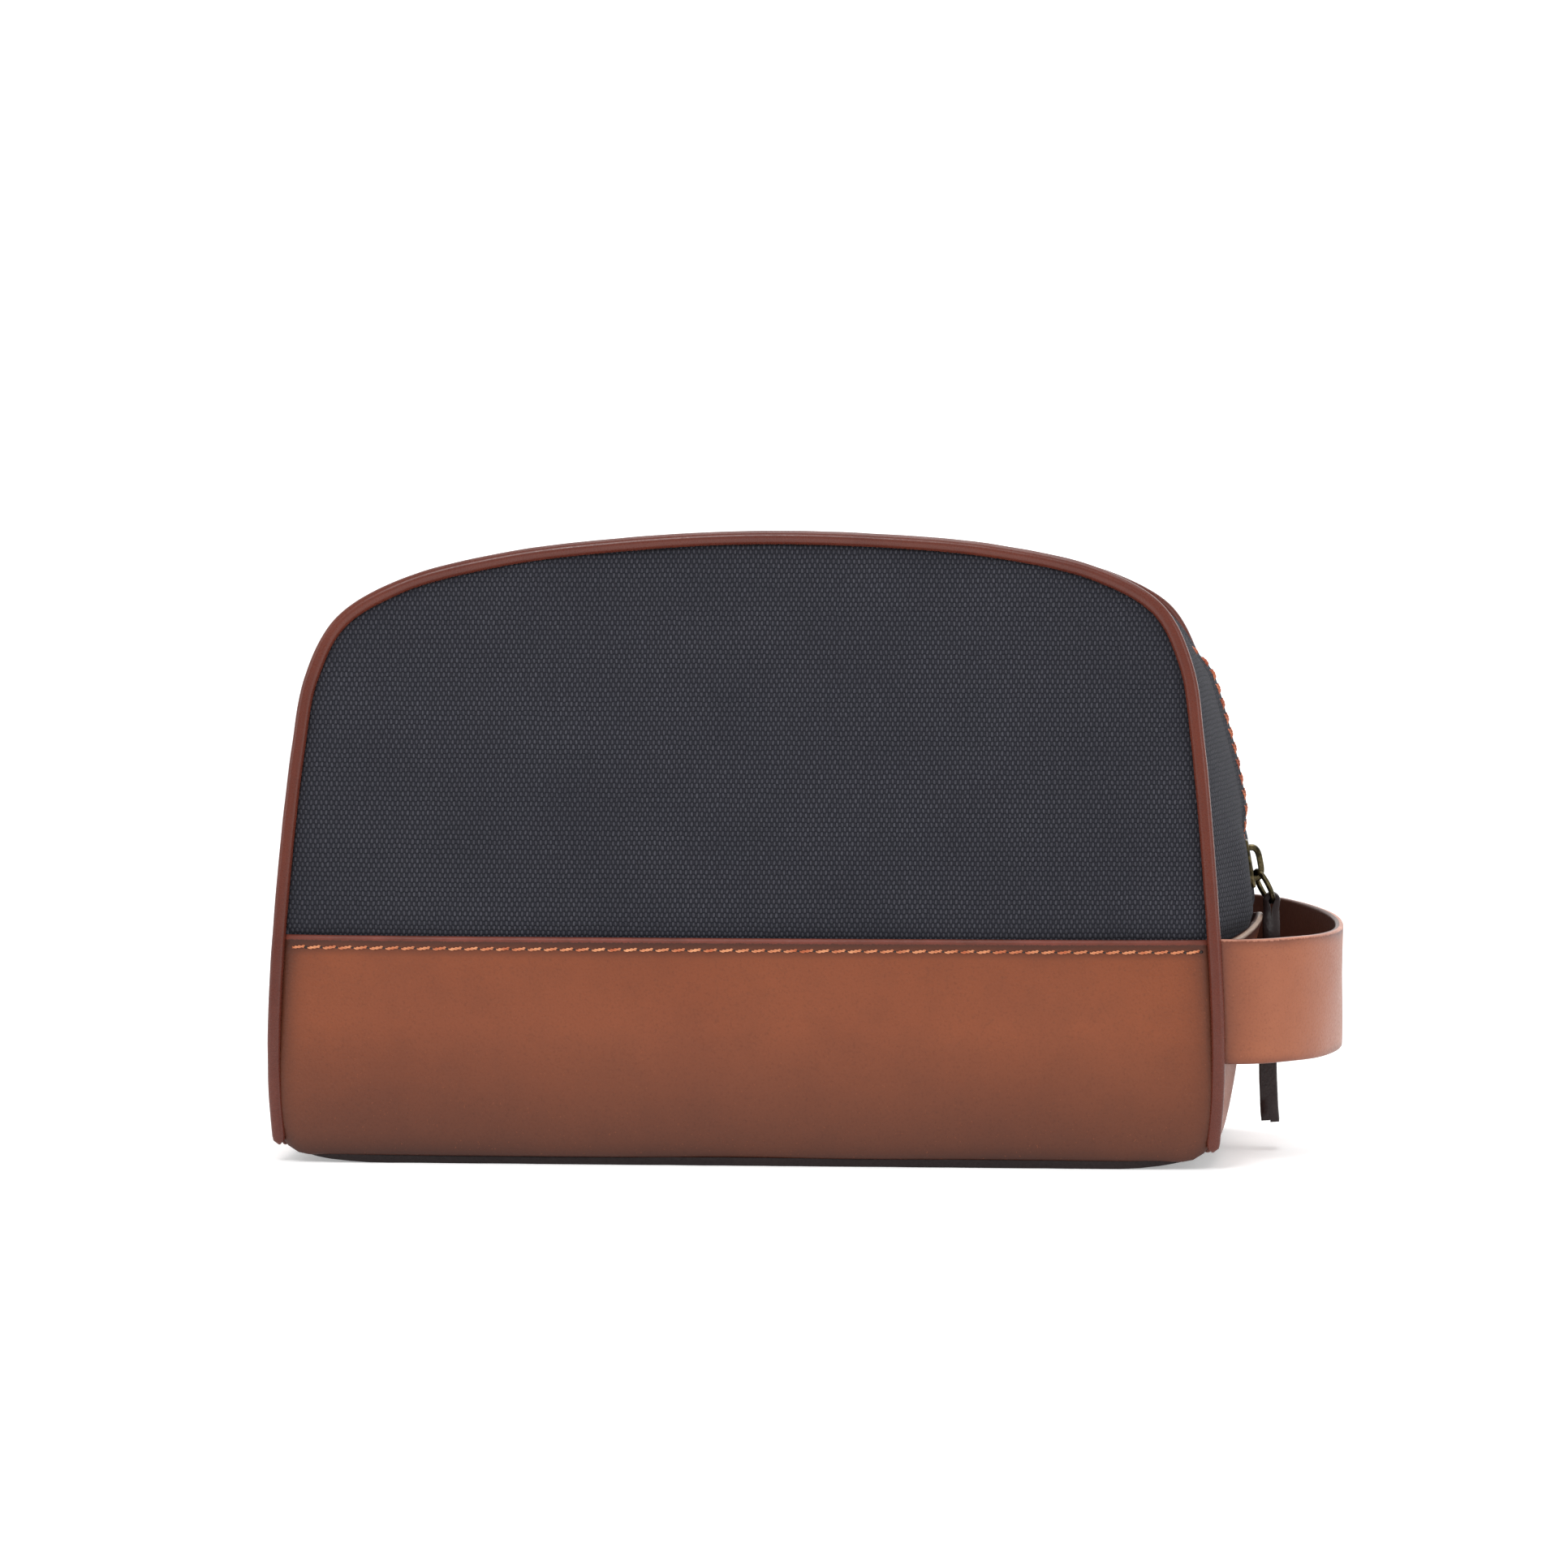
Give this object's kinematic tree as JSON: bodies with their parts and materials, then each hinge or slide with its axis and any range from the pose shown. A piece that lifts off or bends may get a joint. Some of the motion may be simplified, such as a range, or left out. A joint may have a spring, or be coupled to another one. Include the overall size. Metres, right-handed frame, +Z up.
{
  "type": "shaving kit bag",
  "caption": "Soft canvas and leather wash bag with a piped, arched front, a zip over the top and a leather loop handle on one end.",
  "frame": {"origin": "centre of the flat underside of the sole", "axes": "+X to the handle end, along the bag's length; -Y is the front; +Z up"},
  "size_m": [0.2899, 0.1172, 0.1681],
  "materials": {
    "canvas": "heavy plain weave, matt, slate blue-grey",
    "tan_leather": "waxed full-grain leather, satin, edges burnished darker",
    "piping_leather": "rolled leather welt, satin",
    "handle_leather": "thick saddle leather, satin, raw cut edges, rough flesh side",
    "dark_leather": "dark brown folded leather, satin",
    "sole_leather": "dark brown leather, matt",
    "lining": "light plain cotton, matt",
    "fibre_board": "pressed fibre stiffener, matt",
    "zip_tape": "herringbone tape, matt",
    "old_brass": "antique brass, satin, rubbed bright on the edges"
  },
  "bodies": {
    "shell": {"sole": "sole_leather", "base_board": "fibre_board", "lower_lining": "lining", "front_leather_panel": "tan_leather", "back_leather_panel": "tan_leather", "left_end_panel": "tan_leather", "right_end_panel": "tan_leather", "front_left_piping_leg": "piping_leather", "front_right_piping_leg": "piping_leather", "back_left_piping_leg": "piping_leather", "back_right_piping_leg": "piping_leather"},
    "front_half": {"front_canvas_panel": "canvas", "front_upper_lining": "lining", "front_canvas_gusset": "canvas", "front_zip_tape": "zip_tape", "front_zip_teeth": "old_brass", "front_gusset_lining": "lining", "front_piping_arch": "piping_leather"},
    "back_half": {"back_canvas_panel": "canvas", "back_upper_lining": "lining", "back_canvas_gusset": "canvas", "back_zip_tape": "zip_tape", "back_zip_teeth": "old_brass", "back_gusset_lining": "lining", "back_piping_arch": "piping_leather"},
    "slider": {"zip_slider": "old_brass"},
    "ring": {"zip_ring": "old_brass"},
    "tab": {"pull_tab": "dark_leather"},
    "handle": {"handle": "handle_leather"}
  },
  "joints": [
    {"name": "front_mouth", "type": "hinge", "parent": "shell", "child": "front_half", "pos_m": [0, -0.0605, 0.0613], "axis": [1, 0, 0], "range_deg": [0, 18]},
    {"name": "back_mouth", "type": "hinge", "parent": "shell", "child": "back_half", "pos_m": [0, 0.0605, 0.0613], "axis": [-1, 0, 0], "range_deg": [0, 18]},
    {"name": "zip_slide", "type": "slide", "parent": "back_half", "child": "slider", "axis": [-0.1797, 0, 0.9837], "range_m": [0, 0.034]},
    {"name": "ring_swing", "type": "hinge", "parent": "slider", "child": "ring", "pos_m": [0.13495, 0, 0.07548], "axis": [0, -1, 0], "range_deg": [0, 8]},
    {"name": "tab_lean", "type": "hinge", "parent": "ring", "child": "tab", "pos_m": [0.13891, 0, 0.06756], "axis": [0, -1, 0], "range_deg": [0, 10]},
    {"name": "handle_flex", "type": "hinge", "parent": "shell", "child": "handle", "pos_m": [0.131, 0, 0.0447], "axis": [0, 1, 0], "range_deg": [-6, 6], "stiffness_Nm_per_rad": 0.15}
  ],
  "couplings": [
    {"joint": "tab_lean", "follows": "zip_slide", "rad_per_m": 5}
  ]
}
